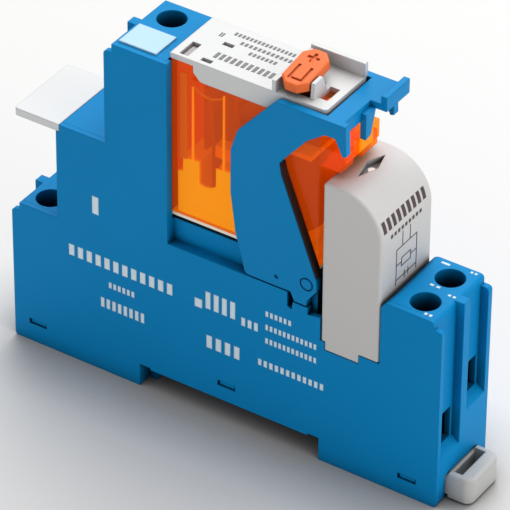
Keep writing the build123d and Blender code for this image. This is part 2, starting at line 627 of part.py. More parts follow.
# ---------------------------------------------------------------- armature, flag and pusher
ARMATURE_LOW, ARMATURE_T = 56.4, 1.2
PUSH_Z = 48.4
with BuildPart() as armature:
    box_between((-0.8, -4.2, ARMATURE_LOW), (15.0, 4.2, ARMATURE_LOW + ARMATURE_T))
    box_between((-0.8, -4.9, PUSH_Z - 1.6), (0.2, -2.6, ARMATURE_LOW + ARMATURE_T))
    box_between((-0.8, -4.2, 53.0), (0.2, 4.2, ARMATURE_LOW + ARMATURE_T))
armature.part.label = "armature"
export_step(armature.part, "parts/armature.step")

with BuildPart() as flag_indicator:
    box_between((14.3, -2.4, ARMATURE_LOW + ARMATURE_T), (14.9, -1.4, 63.6))
    box_between((14.3, -3.5, 62.8), (15.9, -0.2, 63.6))
flag_indicator.part.label = "flag_indicator"
export_step(flag_indicator.part, "parts/flag_indicator.step")

with BuildPart() as contact_pusher:
    box_between((rivet_x + 0.3, -4.8, PUSH_Z - 1.2), (-0.9, -2.7, PUSH_Z + 1.2))
contact_pusher.part.label = "contact_pusher"
export_step(contact_pusher.part, "parts/contact_pusher.step")

# ---------------------------------------------------------------- relay cover
CATCH_END = 21.2
LEDGE_LEFT = -8.2  # the cap's skirt starts here
with BuildPart() as relay_cover:
    box_between((RELAY_LEFT, -INNER, COVER_LOW), (RELAY_RIGHT, INNER, Z_SKIRT))
    box_between((RELAY_LEFT, -INNER, Z_SKIRT - 0.1), (LEDGE_LEFT, INNER, Z_CAP - CAP_T))
    fillet(relay_cover.edges().filter_by(Axis.Z), 0.6)
    inside, step = INNER - WALL, LEDGE_LEFT + 0.1
    box_between(
        (CAVITY_LEFT, -inside, COVER_LOW - 0.1), (CAVITY_RIGHT, inside, Z_SKIRT + 0.1), mode=Mode.SUBTRACT
    )
    box_between((CAVITY_LEFT, -inside, Z_SKIRT), (step, inside, Z_CAP - CAP_T + 0.1), mode=Mode.SUBTRACT)
    # catch that the clip's claws close over: low beam, raised middle and stepped far side
    root = RELAY_RIGHT - 0.1
    beam = [(root, 54.6), (20.4, 54.6), (CATCH_END, 55.6), (CATCH_END, 58.4), (root, 58.4)]
    extrude(side_face(beam, -3.6), amount=INNER - 3.7)
    box_between((root, -3.7, 55.2), (20.2, -0.4, 61.2))
    box_between((root, -0.5, 54.8), (CATCH_END - 0.4, 4.2, 57.6))
    box_between((root, 4.1, 54.8), (20.0, 6.1, 58.2))
relay_cover.part.label = "relay_cover"
export_step(relay_cover.part, "parts/relay_cover.step")

# ---------------------------------------------------------------- relay cap
CAP_RIGHT = 17.5
WELL = ((8.1, -4.5), (13.1, 0.6))  # pit under the test button: two corners
WELL_FLOOR = 61.6
BUTTON_X, BUTTON_Y = 10.6, -1.5
STEM_Y = -1.1
FLAG_WINDOW = ((14.3, -3.7), (16.1, 0.05))
LIGHT_SLOT = ((-11.35, -5.5), (-9.7, -1.5))
COLLAR_TOP, FAR_TOP = 67.8, 68.3
with BuildPart() as relay_cap:
    box_between((RELAY_LEFT, -INNER, Z_CAP - CAP_T), (CAP_RIGHT, INNER, Z_CAP))
    # skirt along both sides and the right end, with the curved start of its lower edge
    skirt_top = Z_CAP - CAP_T + 0.1
    curl = (LEDGE_LEFT, Z_SKIRT + 1.4)
    skirt = [(LEDGE_LEFT, skirt_top), curl, (-6.8, Z_SKIRT), (CAP_RIGHT, Z_SKIRT), (CAP_RIGHT, skirt_top)]
    extrude(side_face(skirt, INNER, ((*curl, 0.8), (-6.8, Z_SKIRT, 0.8))), amount=2 * INNER)
    for low_x, high_x in ((LEDGE_LEFT - 0.1, WELL[0][0] - 0.8), (WELL[1][0] + 0.8, CAP_RIGHT - 0.9)):
        box_between(
            (low_x, -INNER + 1.0, Z_SKIRT - 0.1), (high_x, INNER - 1.0, Z_CAP - CAP_T), mode=Mode.SUBTRACT
        )
    fillet(relay_cap.edges().filter_by(Axis.Z).group_by(Axis.X)[-1], 0.8)
    # pit under the button, with its floor inside the relay cover
    box_between(
        (WELL[0][0] - 0.8, -INNER + 1.0, Z_SKIRT - 1.2), (WELL[1][0] + 0.8, INNER - 1.0, Z_SKIRT + 0.1)
    )
    box_between((*WELL[0], WELL_FLOOR), (*WELL[1], Z_CAP + 0.1), mode=Mode.SUBTRACT)
    # guide hole of the button's stem, flag window, light slot and the two vent slots
    with Locations((BUTTON_X, STEM_Y, Z_SKIRT)):
        Cylinder(1.3, 6, mode=Mode.SUBTRACT)
    box_between((*FLAG_WINDOW[0], Z_SKIRT), (*FLAG_WINDOW[1], Z_CAP + 0.1), mode=Mode.SUBTRACT)
    box_between((*LIGHT_SLOT[0], Z_CAP - CAP_T - 0.1), (*LIGHT_SLOT[1], Z_CAP + 0.1), mode=Mode.SUBTRACT)
    for x, y in ((-6.4, -4.9), (-6.0, 0.85)):
        box_between((x - 1.0, y - 0.45, Z_CAP - 0.7), (x + 1.0, y + 0.45, Z_CAP + 0.1), mode=Mode.SUBTRACT)
    # collar round the button: left wall, taller far wall, and a small fin at its near right
    box_between((7.1, -INNER, Z_CAP - 0.1), (7.8, INNER - 0.1, COLLAR_TOP))
    box_between((7.1, INNER - 0.9, Z_CAP - 0.1), (CAP_RIGHT, INNER, FAR_TOP))
    with BuildSketch(Plane.YZ.offset(13.5)):
        with BuildLine():
            Polyline((-4.8, Z_CAP - 0.1), (-4.5, 68.6), (-2.1, 68.7), (-0.8, Z_CAP - 0.1), close=True)
        make_face()
    extrude(amount=0.7)
relay_cap.part.label = "relay_cap"
export_step(relay_cap.part, "parts/relay_cap.step")

with BuildPart() as light_lens:
    box_between((-11.3, -5.45, Z_CAP - 1.0), (-9.75, -1.55, Z_CAP - 0.5))
light_lens.part.label = "light_lens"
export_step(light_lens.part, "parts/light_lens.step")

# ---------------------------------------------------------------- test button
BUTTON_LOW, BUTTON_TILT = 67.7, 9.0
button_plane = Plane.XY.offset(BUTTON_LOW).rotated((BUTTON_TILT, 0, 0))
button_plane = button_plane.moved(Location((BUTTON_X, BUTTON_Y, 0)))
with BuildPart() as test_button:
    with BuildSketch(button_plane) as button_top:
        Rectangle(5.2, 9.2)
        chamfer(button_top.vertices(), 1.5)
    extrude(amount=1.7)
    fillet(test_button.faces().sort_by(Axis.Z)[-1].edges(), 0.35)
    # marks sunk in the top: two grooves and a cross
    with BuildSketch(button_plane.offset(1.4)):
        with Locations((-1.1, -1.6)):
            Rectangle(0.5, 3.6)
        with Locations((1.2, -1.6)):
            Rectangle(0.5, 3.6)
        with Locations((0, -3.2)):
            Rectangle(2.8, 0.5)
        with Locations((0, 2.4)):
            Rectangle(2.2, 0.6)
            Rectangle(0.6, 2.2)
    extrude(amount=1, mode=Mode.SUBTRACT)
    with BuildSketch(Plane.XY.offset(59.2)):
        with Locations((BUTTON_X, STEM_Y)):
            Circle(1.1)
    extrude(amount=9.0)
test_button.part.label = "test_button"
export_step(test_button.part, "parts/test_button.step")

# ---------------------------------------------------------------- coil module
MODULE_LEFT, MODULE_RIGHT, MODULE_TOP = 18.2, 29.5, 52.8
MODULE_HALF, MODULE_WALL, MODULE_PLAY = 7.8, 1.1, 0.1
MODULE_BODY = [
    (MODULE_LEFT, Z_LIP + MODULE_PLAY),
    (NOTCH_LEFT + MODULE_PLAY, Z_LIP + MODULE_PLAY),
    (NOTCH_LEFT + MODULE_PLAY, Z_POCKET + MODULE_PLAY),
    (NOTCH_RIGHT - MODULE_PLAY, Z_POCKET + MODULE_PLAY),
    (NOTCH_RIGHT - MODULE_PLAY, Z_LIP + MODULE_PLAY),
    (MODULE_RIGHT, Z_LIP + MODULE_PLAY),
    (MODULE_RIGHT, MODULE_TOP),
    (MODULE_LEFT, MODULE_TOP),
]
LENS_X, LENS_Y = 21.9, 0.9
diamond = [(21.8, -3.1), (20.7, 1.2), (22.2, 4.55), (23.1, 0.9)]
with BuildPart() as module_housing:
    rounds = ((MODULE_RIGHT, MODULE_TOP, 8.2), (MODULE_LEFT, MODULE_TOP, 0.5))
    extrude(side_face(MODULE_BODY, MODULE_HALF, rounds), amount=2 * MODULE_HALF)
    side_edges = module_housing.edges().filter_by_position(Axis.Z, 22, MODULE_TOP + 1).filter_by(Plane.XZ)
    fillet(side_edges, 0.5)
    inside = MODULE_HALF - MODULE_WALL
    for low, high in (
        ((NOTCH_LEFT + 1.1, 18), (NOTCH_RIGHT - 1.2, 50.8)),
        ((NOTCH_RIGHT - 1.3, 22.6), (MODULE_RIGHT - MODULE_WALL, 43.2)),
    ):
        box_between((low[0], -inside, low[1]), (high[0], inside, high[1]), mode=Mode.SUBTRACT)
    with BuildSketch(Plane.XY.offset(51.6)):
        with BuildLine():
            Polyline(*diamond, close=True)
        make_face()
    extrude(amount=3, mode=Mode.SUBTRACT)
    with Locations((LENS_X, LENS_Y, 51)):
        Cylinder(0.7, 3, mode=Mode.SUBTRACT)
module_housing.part.label = "module_housing"
export_step(module_housing.part, "parts/module_housing.step")

BOARD_X = 20.3
with BuildPart() as module_board:
    box_between((BOARD_X, -5.4, 23.0), (BOARD_X + 1.2, 5.4, 47.0))
    box_between((BOARD_X + 1.1, -3.6, 31.0), (BOARD_X + 3.7, 3.6, 37.0))
    box_between((BOARD_X + 1.1, -2.4, 25.4), (BOARD_X + 3.1, 2.4, 28.4))
    box_between((BOARD_X, LENS_Y - 1.3, 46.9), (LENS_X + 1.0, LENS_Y + 1.3, 47.6))
    with Locations((LENS_X, LENS_Y, 47.5)):
        Cylinder(1.1, 2.9, align=(Align.CENTER, Align.CENTER, Align.MIN))
module_board.part.label = "module_board"
export_step(module_board.part, "parts/module_board.step")

PIN_FOOT, FORK_FOOT = 14.6, 9.8
for index, x in enumerate(MODULE_PINS):
    with BuildPart() as module_pin:
        box_between((x - 0.35, -1.0, PIN_FOOT), (x + 0.35, 1.0, 22.8))
    module_pin.part.label = f"module_pin_{index + 1}"
    export_step(module_pin.part, f"parts/module_pin_{index + 1}.step")
    with BuildPart() as module_fork:
        for side in (-1, 1):
            leaf = sorted((x + side * FORK_GAP / 2, x + side * (FORK_GAP / 2 + FORK_T)))
            box_between((leaf[0], -1.2, FORK_FOOT + 0.8), (leaf[1], 1.2, FORK_FOOT + 6.6))
        box_between((x - 1.0, -1.2, FORK_FOOT), (x + 1.0, 1.2, FORK_FOOT + 0.9))
    module_fork.part.label = f"module_fork_{index + 1}"
    export_step(module_fork.part, f"parts/module_fork_{index + 1}.step")

with BuildPart() as module_lens:
    with Locations((LENS_X, LENS_Y, 50.85)):
        Cylinder(0.65, 0.95, align=(Align.CENTER, Align.CENTER, Align.MIN))
module_lens.part.label = "module_lens"
export_step(module_lens.part, "parts/module_lens.step")

with BuildPart() as module_base:
    box_between((NOTCH_LEFT + 1.2, -6.6, Z_POCKET + 0.2), (NOTCH_RIGHT - 1.3, 6.6, 22.4))
    for x in MODULE_PINS:
        box_between((x - 0.4, -1.2, Z_POCKET), (x + 0.4, 1.2, 23), mode=Mode.SUBTRACT)
module_base.part.label = "module_base"
export_step(module_base.part, "parts/module_base.step")
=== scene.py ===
"""Looks for the plug-in relay in its rail socket: camera, floor, light, materials and small details."""

import json
import math

import bmesh
import bpy
from mathutils import Matrix, Vector


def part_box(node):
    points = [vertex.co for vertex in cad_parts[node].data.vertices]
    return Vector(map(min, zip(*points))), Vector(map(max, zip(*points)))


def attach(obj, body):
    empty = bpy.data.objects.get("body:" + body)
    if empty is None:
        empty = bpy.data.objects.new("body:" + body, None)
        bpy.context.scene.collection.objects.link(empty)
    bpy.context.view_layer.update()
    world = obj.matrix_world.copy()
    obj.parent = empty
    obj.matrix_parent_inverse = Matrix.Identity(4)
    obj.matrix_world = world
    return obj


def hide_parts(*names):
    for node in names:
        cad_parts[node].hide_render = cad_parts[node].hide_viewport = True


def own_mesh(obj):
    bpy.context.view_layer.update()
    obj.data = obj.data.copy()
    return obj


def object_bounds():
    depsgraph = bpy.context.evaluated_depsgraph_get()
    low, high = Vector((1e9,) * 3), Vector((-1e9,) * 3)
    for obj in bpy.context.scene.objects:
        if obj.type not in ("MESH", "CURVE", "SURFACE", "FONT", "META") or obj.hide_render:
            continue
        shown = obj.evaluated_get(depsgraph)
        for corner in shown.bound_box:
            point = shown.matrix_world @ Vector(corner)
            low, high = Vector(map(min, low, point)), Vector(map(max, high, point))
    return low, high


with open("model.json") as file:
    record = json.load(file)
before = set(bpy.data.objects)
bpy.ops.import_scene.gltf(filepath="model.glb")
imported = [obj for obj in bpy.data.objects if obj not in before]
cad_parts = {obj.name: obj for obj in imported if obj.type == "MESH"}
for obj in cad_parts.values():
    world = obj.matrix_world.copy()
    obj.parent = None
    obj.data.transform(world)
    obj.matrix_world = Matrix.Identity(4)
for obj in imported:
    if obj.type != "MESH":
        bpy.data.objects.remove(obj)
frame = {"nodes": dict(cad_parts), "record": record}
cad_low, cad_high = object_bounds()

MM = 0.001
SCENE = bpy.context.scene

# ---------------------------------------------------------------- camera
AZIMUTH, ELEVATION, ROLL = 33.157, 36.364, 0.455  # degrees
AIM = Vector((-8.563, 13.176, 14.638)) * MM
DISTANCE = 783.3 * MM
LENS, SENSOR = 322.2, 36.0  # mm


def add_camera():
    """Long lens above the right end, looking down at the near side."""
    azimuth, elevation = math.radians(AZIMUTH), math.radians(ELEVATION)
    data = bpy.data.cameras.new("camera")
    data.lens, data.sensor_width = LENS, SENSOR
    data.clip_start, data.clip_end = 0.05, 20
    camera = bpy.data.objects.new("camera", data)
    SCENE.collection.objects.link(camera)
    turn = Matrix.Rotation(azimuth, 4, "Z") @ Matrix.Rotation(math.pi / 2 - elevation, 4, "X")
    turn = turn @ Matrix.Rotation(math.radians(ROLL), 4, "Z")
    camera.matrix_world = Matrix.Translation(AIM + DISTANCE * (turn.to_3x3() @ Vector((0, 0, 1)))) @ turn
    SCENE.camera = camera


add_camera()

# ---------------------------------------------------------------- floor and light
FLOOR_Z = cad_low[2]
FLOOR_REACH = 3.0  # metres, as are the places and sizes of the lights
FLOOR_PALE, PAINTED_SHADOW_DARK = (0.75, 0.745, 0.738, 1), (0.06, 0.05, 0.048, 1)
PAINTED_SHADOW_REACH = 15 * MM  # painted shadow: the floor's colour darkens this near to the object


def link(tree, source, source_socket, target, target_socket):
    """Joins two node sockets."""
    tree.links.new(source.outputs[source_socket], target.inputs[target_socket])


def add_floor():
    """Plain pale floor, far larger than the view, its colour darkened round the object as painted shadow."""
    mesh = bpy.data.meshes.new("floor")
    turns = ((-1, -1), (1, -1), (1, 1), (-1, 1))
    corners = [(x * FLOOR_REACH, y * FLOOR_REACH, FLOOR_Z) for x, y in turns]
    mesh.from_pydata(corners, [], [(0, 1, 2, 3)])
    floor = bpy.data.objects.new("floor", mesh)
    SCENE.collection.objects.link(floor)
    material = bpy.data.materials.new("floor_paper")
    material.use_nodes = True
    tree = material.node_tree
    shader = tree.nodes["Principled BSDF"]
    # painted shadow: ambient occlusion darkens the floor's colour near the object
    near = tree.nodes.new("ShaderNodeAmbientOcclusion")
    near.samples = 8
    near.inputs["Distance"].default_value = PAINTED_SHADOW_REACH
    contact = tree.nodes.new("ShaderNodeMix")
    contact.data_type = "RGBA"
    contact.inputs["A"].default_value = PAINTED_SHADOW_DARK
    contact.inputs["B"].default_value = FLOOR_PALE
    link(tree, near, "AO", contact, "Factor")
    link(tree, contact, "Result", shader, "Base Color")
    shader.inputs["Roughness"].default_value = 0.9
    shader.inputs["Specular IOR Level"].default_value = 0.1
    mesh.materials.append(material)


def add_area_light(name, place, target, size, energy, colour):
    """Square soft box at a place, facing a target."""
    data = bpy.data.lights.new(name, "AREA")
    data.shape, data.size = "SQUARE", size
    data.energy, data.color = energy, colour
    light = bpy.data.objects.new(name, data)
    light.location = place
    light.rotation_euler = (Vector(target) - Vector(place)).to_track_quat("-Z", "Y").to_euler()
    SCENE.collection.objects.link(light)


def add_light():
    """A large soft box behind and above, a weaker one at the right end, and a pale surround."""
    middle = (0, 0, 0.02)
    add_area_light("key", (-0.15, 0.6, 0.85), middle, 1.1, 11.2, (1, 1, 1))
    add_area_light("side", (0.9, -0.05, 0.35), middle, 0.6, 2.4, (1, 1, 1))
    world = bpy.data.worlds.new("surround")
    world.use_nodes = True
    world.node_tree.nodes["Background"].inputs["Color"].default_value = (1, 1, 1, 1)
    world.node_tree.nodes["Background"].inputs["Strength"].default_value = 0.56
    SCENE.world = world
    SCENE.view_settings.view_transform = "Standard"


add_floor()
add_light()


# ---------------------------------------------------------------- materials
EDGE_RADIUS = 0.3 * MM  # softening of moulded edges
GRAIN_DEPTH = 0.2 * MM
CLOUD_SCALE = 45.0  # slow unevenness of a colour, about 20 mm across
RECESS_REACH = 7 * MM  # walls nearer than this darken a recess with painted shade
RECESS_DEEP, RECESS_OPEN = 0.3, 0.55  # openness at which a recess is darkest, and fully lit


def add_noise(tree, source, source_socket, scale, detail):
    """Noise texture over a given vector."""
    noise = tree.nodes.new("ShaderNodeTexNoise")
    noise.inputs["Scale"].default_value = scale
    noise.inputs["Detail"].default_value = detail
    link(tree, source, source_socket, noise, "Vector")
    return noise


def plastic(name, colour, roughness, grain=900.0, bump=0.06, mottle=0.05, shade=0.75, **sockets):
    """Moulded plastic: soft edges, fine grain, slightly uneven colour and gloss, and painted shade darkening
    deep recesses.
    """
    material = bpy.data.materials.new(name)
    material.use_nodes = True
    tree = material.node_tree
    shader = tree.nodes["Principled BSDF"]
    place = tree.nodes.new("ShaderNodeTexCoord")
    grain_noise = add_noise(tree, place, "Object", grain, 4.0)
    edge = tree.nodes.new("ShaderNodeBevel")
    edge.samples = 4
    edge.inputs["Radius"].default_value = EDGE_RADIUS
    bumps = tree.nodes.new("ShaderNodeBump")
    bumps.inputs["Strength"].default_value = bump
    bumps.inputs["Distance"].default_value = GRAIN_DEPTH
    link(tree, grain_noise, "Fac", bumps, "Height")
    link(tree, edge, "Normal", bumps, "Normal")
    link(tree, bumps, "Normal", shader, "Normal")
    cloud = add_noise(tree, place, "Object", CLOUD_SCALE, 3.0)
    tint = tree.nodes.new("ShaderNodeMix")
    tint.data_type = "RGBA"
    tint.inputs["A"].default_value = (*[c * (1 - mottle) for c in colour], 1)
    tint.inputs["B"].default_value = (*[min(1.0, c * (1 + mottle)) for c in colour], 1)
    link(tree, cloud, "Fac", tint, "Factor")
    # painted shade: narrow recesses get darker towards their floor, ambient occlusion multiplied into the
    # base colour
    reach = tree.nodes.new("ShaderNodeAmbientOcclusion")
    reach.samples = 6
    reach.inputs["Distance"].default_value = RECESS_REACH
    depth = tree.nodes.new("ShaderNodeMapRange")
    depth.inputs["From Min"].default_value = RECESS_DEEP
    depth.inputs["From Max"].default_value = RECESS_OPEN
    depth.inputs["To Min"].default_value = 1 - shade
    link(tree, reach, "AO", depth, "Value")
    dark = tree.nodes.new("ShaderNodeMix")
    dark.data_type = "RGBA"
    dark.blend_type = "MULTIPLY"
    dark.inputs["Factor"].default_value = 1.0
    link(tree, tint, "Result", dark, "A")
    link(tree, depth, "Result", dark, "B")
    link(tree, dark, "Result", shader, "Base Color")
    gloss = tree.nodes.new("ShaderNodeMapRange")
    gloss.inputs["To Min"].default_value = roughness * 0.88
    gloss.inputs["To Max"].default_value = min(1.0, roughness * 1.12)
    link(tree, grain_noise, "Fac", gloss, "Value")
    link(tree, gloss, "Result", shader, "Roughness")
    for socket, value in sockets.items():
        shader.inputs[socket.replace("_", " ")].default_value = value
    return material


def metal(name, colour, roughness, scratch=(40, 900, 40)):
    """Plated or bare sheet metal with fine drawn lines and uneven tarnish."""
    material = plastic(name, colour, roughness, bump=0.08, mottle=0.12, Metallic=1.0)
    tree = material.node_tree
    place = next(n for n in tree.nodes if n.type == "TEX_COORD")
    stretch = tree.nodes.new("ShaderNodeMapping")
    stretch.inputs["Scale"].default_value = scratch
    link(tree, place, "Object", stretch, "Vector")
    lines = add_noise(tree, stretch, "Vector", 12.0, 2.0)
    bumps = next(n for n in tree.nodes if n.type == "BUMP")
    link(tree, lines, "Fac", bumps, "Height")
    return material


def clear_plastic(name, body, tint, share, painted_glow):
    """Thin translucent moulding: part glossy body colour with a little emission as painted light, part tinted
    see-through.
    """
    material = plastic(
        name,
        body,
        0.1,
        grain=250.0,
        bump=0.03,
        mottle=0.03,
        shade=0.0,
        Emission_Color=(*body, 1),
        Emission_Strength=painted_glow,
    )
    tree = material.node_tree
    through = tree.nodes.new("ShaderNodeBsdfTransparent")
    through.inputs["Color"].default_value = (*tint, 1)
    blend = tree.nodes.new("ShaderNodeMixShader")
    blend.inputs["Fac"].default_value = share
    tree.links.new(through.outputs["BSDF"], blend.inputs[1])
    tree.links.new(tree.nodes["Principled BSDF"].outputs["BSDF"], blend.inputs[2])
    link(tree, blend, "Shader", tree.nodes["Material Output"], "Surface")
    return material


BLUE = (0.0, 0.235, 0.55)
MATERIALS = {
    "housing_blue": plastic("housing_blue", BLUE, 0.5, shade=0.95, Specular_IOR_Level=0.08),
    "clip_blue": plastic("clip_blue", BLUE, 0.45, shade=0.7, Specular_IOR_Level=0.1),
    "cap_white": plastic("cap_white", (0.68, 0.685, 0.685), 0.5, mottle=0.02, shade=0.6),
    "tag_white": plastic("tag_white", (0.7, 0.71, 0.715), 0.5, mottle=0.02, shade=0.4),
    "latch_white": plastic("latch_white", (0.5, 0.5, 0.49), 0.45, mottle=0.03, shade=0.4),
    "module_grey": plastic("module_grey", (0.6, 0.592, 0.58), 0.5, mottle=0.02, shade=0.8),
    # painted light: a faint warm emission stands in for light gathered through the cover
    "base_pale": plastic(
        "base_pale",
        (0.85, 0.8, 0.74),
        0.5,
        mottle=0.04,
        shade=0.2,
        Emission_Color=(0.9, 0.7, 0.4, 1),
        Emission_Strength=0.12,
    ),
    "button_orange": plastic("button_orange", (0.9, 0.17, 0.035), 0.45, shade=0.6, Specular_IOR_Level=0.25),
    # painted light: a strong emission brightens the flag, which lies in shade deep in its window
    "flag_orange": plastic(
        "flag_orange",
        (0.9, 0.12, 0.01),
        0.5,
        shade=0.1,
        Emission_Color=(0.9, 0.1, 0.01, 1),
        Emission_Strength=1.8,
    ),
    "board_green": plastic("board_green", (0.02, 0.12, 0.05), 0.35),
    "lens_clear": plastic("lens_clear", (0.16, 0.12, 0.13), 0.12, mottle=0.01, Coat_Weight=0.6),
    # painted light: the cover's emission stands in for light passing through it
    "cover_orange": clear_plastic("cover_orange", (0.95, 0.12, 0.004), (1.0, 0.66, 0.03), 0.24, 0.5),
    "screw_steel": metal("screw_steel", (0.55, 0.55, 0.53), 0.35),
    "cage_steel": metal("cage_steel", (0.58, 0.56, 0.5), 0.4),
    "contact_metal": metal("contact_metal", (0.85, 0.6, 0.25), 0.35),
    "iron": metal("iron", (0.42, 0.4, 0.38), 0.5),
    "spring_steel": metal("spring_steel", (0.45, 0.45, 0.45), 0.3),
    "copper_winding": metal("copper_winding", (0.45, 0.14, 0.04), 0.4, scratch=(40, 40, 1500)),
}


def dress_nodes():
    """Gives each CAD node the material of its slot."""
    for part in frame["record"]["subparts"]:
        mesh = frame["nodes"][part["node"]].data
        if not mesh.materials:
            mesh.materials.append(None)
        for slot in frame["nodes"][part["node"]].material_slots:
            slot.material = MATERIALS[part["material_slot"]]


dress_nodes()

# two nodes that don't look like the rest of their slot
OWN_LOOK = {
    "label_plate": plastic("label_pale", (0.4, 0.63, 0.8), 0.45, mottle=0.02, shade=0.2),
    # painted light: a faint white emission brightens the lens in its pit
    "module_lens": plastic(
        "lens_milky",
        (0.9, 0.89, 0.86),
        0.15,
        mottle=0.02,
        shade=0.0,
        Coat_Weight=0.5,
        Emission_Color=(1, 1, 1, 1),
        Emission_Strength=0.35,
    ),
}
for name, material in OWN_LOOK.items():
    frame["nodes"][name].material_slots[0].material = material


# ---------------------------------------------------------------- latch spring
def add_latch_spring():
    """Copy of the spring's helix, fixed to the socket in place of the hidden CAD spring."""
    mesh = frame["nodes"]["latch_spring"].data.copy()
    spring = bpy.data.objects.new("latch_spring_coil", mesh)
    SCENE.collection.objects.link(spring)
    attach(spring, "socket")
    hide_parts("latch_spring")
    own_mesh(spring)


add_latch_spring()


# ---------------------------------------------------------------- thin plates inside and beside the relay
def add_plate(name, body, outline, near_y, far_y, material):
    """Flat plate with an outline of x and z points in mm, between two y planes."""
    mesh = bpy.data.meshes.new(name)
    build = bmesh.new()
    face = build.faces.new([build.verts.new((x * MM, near_y * MM, z * MM)) for x, z in outline])
    grown = bmesh.ops.extrude_face_region(build, geom=[face])["geom"]
    moved = [item for item in grown if isinstance(item, bmesh.types.BMVert)]
    bmesh.ops.translate(build, verts=moved, vec=(0, (far_y - near_y) * MM, 0))
    bmesh.ops.recalc_face_normals(build, faces=build.faces)
    build.to_mesh(mesh)
    build.free()
    mesh.materials.append(material)
    piece = bpy.data.objects.new(name, mesh)
    SCENE.collection.objects.link(piece)
    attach(piece, body)


def painted_glow_plastic(name, colour, painted_glow, strength):
    """Plastic inside the cover, with emission as painted light standing in for the light that the cover
    gathers.
    """
    return plastic(
        name,
        colour,
        0.45,
        mottle=0.08,
        shade=0.3,
        Emission_Color=(*painted_glow, 1),
        Emission_Strength=strength,
    )


INSIDE_Y = -5.5  # near faces of the plates, just inside the near wall of the cover
# painted light: these materials carry emission in place of light gathered through the cover
AMBER = painted_glow_plastic("shoulder_amber", (0.85, 0.75, 0.4), (0.9, 0.66, 0.1), 0.46)
RIB_AMBER = painted_glow_plastic("rib_amber", (0.9, 0.6, 0.2), (1.0, 0.5, 0.05), 0.5)
RIB_BROWN = painted_glow_plastic("rib_brown", (0.7, 0.3, 0.05), (0.6, 0.2, 0.02), 0.25)
# painted shadow: near-black plastic for the strips beside the clip arms, put where there is only shade
SHADOW_STRIP_BLACK = plastic("shadow_strip_black", (0.02, 0.016, 0.015), 0.6, mottle=0.3, Specular_IOR_Level=0.2)

# near wall of the base, with a notch between its two shoulders
SHOULDERS = [
    (-11.7, 33.8),
    (1.6, 33.8),
    (1.6, 45.9),
    (-4.2, 45.4),
    (-4.2, 41.7),
    (-5.2, 41.0),
    (-6.4, 40.8),
    (-7.5, 41.1),
    (-7.5, 45.5),
    (-10.7, 45.1),
    (-10.7, 42.4),
    (-11.7, 42.2),
]
add_plate("base_front_wall", "relay", SHOULDERS, INSIDE_Y, INSIDE_Y + 0.4, AMBER)


def upright(left, right, low, high, taper=0.08):
    """Outline of a straight rib, a little narrower at its top."""
    return [(left, low), (right, low), (right - taper, high), (left + taper, high)]


# two thin ribs and a broad one at the left end: left and right sides, foot, top and thickness of each
COVER_RIBS = (
    ("cover_rib_left", -9.0, -8.55, 45.3, 59.9, 0.3, RIB_AMBER),
    ("cover_rib_right", -2.9, -2.45, 45.5, 60.4, 0.3, RIB_AMBER),
    ("cover_rib_end", -11.3, -9.9, 45.0, 62.0, 0.2, RIB_BROWN),
)
for name, left, right, foot, top, thickness, material in COVER_RIBS:
    add_plate(name, "relay", upright(left, right, foot, top), INSIDE_Y, INSIDE_Y + thickness, material)

# a thin band that sags between the tops of the two thin ribs
SAG_LEFT, SAG_SPAN, SAG_TOP, SAG_DEPTH, SAG_BAND = -8.5, 5.7, 60.1, 1.1, 0.35
SAG_STEPS = 8
ARCH = []
for step in range(SAG_STEPS + 1):
    part_way = step / SAG_STEPS
    ARCH.append((SAG_LEFT + SAG_SPAN * part_way, SAG_TOP - SAG_DEPTH * math.sin(math.pi * part_way)))
ARCH += [(x, z - SAG_BAND) for x, z in reversed(ARCH)]
add_plate("cover_rib_arch", "relay", ARCH, INSIDE_Y, INSIDE_Y + 0.25, RIB_BROWN)

# painted shadow: black strips along the right edge of the two arms of the clip stand in for the shade beside
# the arms, and they stay clear of the module when the clip swings
SHADOW_STRIP = [(9.6, 53.3), (9.9, 53.3), (10.4, 51.35), (17.35, 33.2), (17.0, 33.1), (10.0, 51.3)]
SHADOW_STRIP_INNER, SHADOW_STRIP_OUTER = 6.3, 7.82  # each side of the middle plane
add_plate("clip_shadow_strip_near", "retaining_clip", SHADOW_STRIP, -SHADOW_STRIP_OUTER, -SHADOW_STRIP_INNER, SHADOW_STRIP_BLACK)
add_plate("clip_shadow_strip_far", "retaining_clip", SHADOW_STRIP, SHADOW_STRIP_INNER, SHADOW_STRIP_OUTER, SHADOW_STRIP_BLACK)

# ---------------------------------------------------------------- printed marks, as plain bars and lines
PRINT_T, PRINT_ROOT = 0.03, 0.01  # mm, how far the ink stands out of a face and reaches into it
BAR_GAP = 0.4  # share of a row's pitch that is left open
SIDE_Y = cad_low[1] / MM
BLOCK_TOP, CAP_TOP = 33.8, 65.7  # flat tops of the right terminal block and of the relay
MODULE_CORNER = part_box("module_housing")[1]
MODULE_RIGHT, MODULE_TOP = MODULE_CORNER[0] / MM, MODULE_CORNER[2] / MM
SHOULDER_R = 8.2  # mm, round upper right edge of the module
BOX_FACES = ((0, 1, 3, 2), (4, 6, 7, 5), (0, 4, 5, 1), (2, 3, 7, 6), (0, 2, 6, 4), (1, 5, 7, 3))


def ink(name, colour):
    """Flat printing ink, slightly uneven."""
    return plastic(name, colour, 0.6, grain=3000.0, bump=0.1, mottle=0.06, shade=0.0)


INK_WHITE = ink("ink_white", (0.72, 0.86, 0.93))
INK_GREY = ink("ink_grey", (0.2, 0.2, 0.21))
INK_DARK = ink("ink_dark", (0.07, 0.04, 0.045))


